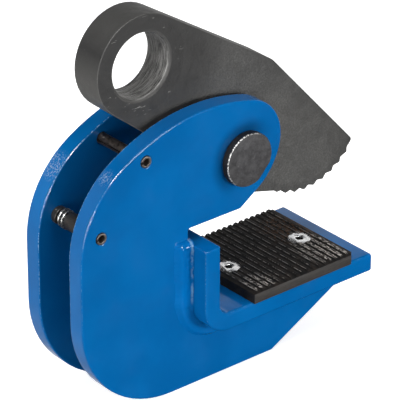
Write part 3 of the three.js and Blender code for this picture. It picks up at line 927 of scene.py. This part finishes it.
def build_pins():
    black = pin_steel("pin_steel")
    browned = roll_pin_steel("roll_pin_steel")
    plain = bright_steel("washer_steel", WASHER_STEEL, WASHER_STAIN, 0.6, 5.0)
    collar = bright_steel("collar_steel", COLLAR_STEEL, RUST, 0.3, 3.0, metallic=0.6)
    softened_copy("pivot_pin", "pivot_pin_steel", black, "pin_steel", PIN_EDGE, segments=3)
    for node in ("stop_pin", "spring_pin"):
        softened_copy(node, node + "_split", browned, "roll_pin_steel", ROLL_PIN_EDGE, segments=2)
    for node in ("front_spacer_washer", "rear_spacer_washer", "pin_washer"):
        softened_copy(node, node + "_plain", plain, "zinc_washer", WASHER_EDGE, segments=2)
    softened_copy(
        "retaining_ring", "retaining_ring_steel", plain, "spring_steel", RING_EDGE, segments=2,
    )
    for node in ("front_spring_collar", "rear_spring_collar"):
        softened_copy(node, node + "_black", collar, "blackened_steel", COLLAR_EDGE, segments=2)


def build_spring():
    wire = bright_steel("spring_wire", SPRING_WIRE, RUST, 0.35, 2.0, smooth=0.18)
    mesh = sweep(wire_rings(spring_path(), WIRE_RADIUS, WIRE_SIDES))
    piece = shown(mesh, "tension_spring_coil", wire, "spring", "tension_spring")
    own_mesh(piece)


# ---- Floor, light and camera ----
FLOOR_HALF_SIDE = 12.0


def floor_material():
    """Pale to the camera, with a faint shadow; a mid grey for the light it throws back."""
    graph = Graph("pale_floor")
    tone = graph.mix(graph.noise(300, 2, 0.5), *FLOOR_TONES)
    seen = graph.node("ShaderNodeBsdfPrincipled", {
        "Base Color": tone,
        "Roughness": 0.9,
        "Emission Color": with_alpha(WHITE),
        "Emission Strength": 0.72,
    }).outputs[0]
    bounced = graph.node("ShaderNodeBsdfDiffuse", {"Color": with_alpha(FLOOR_BOUNCE)}).outputs[0]
    to_camera = graph.tree.nodes.new("ShaderNodeLightPath").outputs["Is Camera Ray"]
    both = graph.node("ShaderNodeMixShader", {0: to_camera, 1: bounced, 2: seen}).outputs[0]
    graph.node("ShaderNodeOutputMaterial", {"Surface": both})
    return graph.material


def build_floor():
    mesh = bmesh.new()
    bmesh.ops.create_grid(mesh, x_segments=1, y_segments=1, size=FLOOR_HALF_SIDE)
    floor = placed(mesh, "floor")
    floor.data.materials.append(floor_material())
    floor.location.z = cad_box[0].z
    floor.visible_glossy = False


def build_world():
    """White to the camera, an even fill for matt surfaces, and a bright cove behind for shiny ones.

    The cove dims to the left, and reaches from below the horizon to about 35 degrees above it.
    """
    world = bpy.data.worlds.new("studio")
    bpy.context.scene.world = world
    world.use_nodes = True
    tree = world.node_tree
    tree.nodes.clear()
    link = tree.links.new

    def background(strength):
        made = tree.nodes.new("ShaderNodeBackground")
        made.inputs["Strength"].default_value = strength
        return made

    def remap(value, low, high):
        made = tree.nodes.new("ShaderNodeMapRange")
        made.interpolation_type = "SMOOTHSTEP"
        link(value, made.inputs[0])
        made.inputs[1].default_value = low
        made.inputs[2].default_value = high
        return made.outputs[0]

    def combine(operation, a, b):
        made = tree.nodes.new("ShaderNodeMath")
        made.operation = operation
        link(a, made.inputs[0])
        if isinstance(b, float):
            made.inputs[1].default_value = b
        else:
            link(b, made.inputs[1])
        return made.outputs[0]

    def choose(share, where_0, where_1):
        made = tree.nodes.new("ShaderNodeMixShader")
        link(share, made.inputs[0])
        link(where_0.outputs[0], made.inputs[1])
        link(where_1.outputs[0], made.inputs[2])
        return made

    rays = tree.nodes.new("ShaderNodeLightPath").outputs
    heading = tree.nodes.new("ShaderNodeTexCoord").outputs["Generated"]
    parts = tree.nodes.new("ShaderNodeSeparateXYZ")
    link(heading, parts.inputs[0])
    across, away, up = parts.outputs
    sunk = combine("MINIMUM", combine("ADD", up, 0.3), 0.0)
    behind = remap(combine("ADD", away, combine("MULTIPLY", sunk, 1.3)), -0.05, 0.35)
    not_high = remap(up, 0.62, 0.52)
    not_left = combine("ADD", combine("MULTIPLY", remap(across, -0.6, -0.1), 0.5), 0.5)
    cove = combine("MULTIPLY", combine("MULTIPLY", behind, not_high), not_left)
    seen = background(1.0)
    fill = background(0.5)
    reflected = background(1.0)
    link(cove, reflected.inputs["Strength"])
    unseen = choose(rays["Is Glossy Ray"], fill, reflected)
    whole = choose(rays["Is Camera Ray"], unseen, seen)
    output = tree.nodes.new("ShaderNodeOutputWorld")
    link(whole.outputs[0], output.inputs[0])


def towards(azimuth, elevation):
    """The way to a viewer or a light. Azimuth 0 is in front of the object, at -Y."""
    turn = math.radians(azimuth)
    rise = math.radians(elevation)
    return Vector((
        math.sin(turn) * math.cos(rise),
        -math.cos(turn) * math.cos(rise),
        math.sin(rise),
    ))


def softbox(name, azimuth, elevation, distance, size, power, shows="both"):
    """A soft rectangle of light that shows in matt surfaces, in shiny ones or in both."""
    data = bpy.data.lights.new(name, "AREA")
    data.shape = "RECTANGLE"
    data.size, data.size_y = size
    data.energy = power
    light = bpy.data.objects.new(name, data)
    way = towards(azimuth, elevation)
    light.location = pivot + way * distance
    light.rotation_mode = "QUATERNION"
    light.rotation_quaternion = way.to_track_quat("Z", "Y")
    light.visible_diffuse = shows != "shine"
    light.visible_glossy = shows != "matt"
    bpy.context.scene.collection.objects.link(light)


def build_lights():
    softbox("key", 18, 3, distance=1.5, size=(0.42, 0.38), power=14.5)
    softbox("left", -84, 8, distance=1.6, size=(0.5, 0.7), power=17.5)
    softbox("overhead", -10, 78, distance=1.5, size=(0.7, 0.7), power=8, shows="matt")
    softbox("glint", -26, 40, distance=1.4, size=(0.1, 0.1), power=30, shows="shine")
    softbox("low_glint", -21, 1, distance=1.4, size=(0.1, 0.1), power=12, shows="shine")


def build_camera():
    """A long lens that looks down at the clamp from the pin head's side, towards its back."""
    distance = 1.616
    aim = pivot + Vector((-24.9, -17.2, -17.4)) * MM
    way = towards(azimuth=-39.9, elevation=27.54)
    data = bpy.data.cameras.new("camera")
    data.sensor_width = 36
    data.lens = 293.8
    data.clip_start = 0.1
    data.clip_end = 60
    camera = bpy.data.objects.new("camera", data)
    camera.location = aim + way * distance
    camera.rotation_mode = "QUATERNION"
    camera.rotation_quaternion = way.to_track_quat("Z", "Y")
    bpy.context.scene.collection.objects.link(camera)
    bpy.context.scene.camera = camera


build_body()
build_jaw()
build_cam()
build_pins()
build_spring()
build_floor()
build_world()
build_lights()
build_camera()

scene = bpy.context.scene
scene.view_settings.view_transform = "Standard"
scene.view_settings.look = "None"
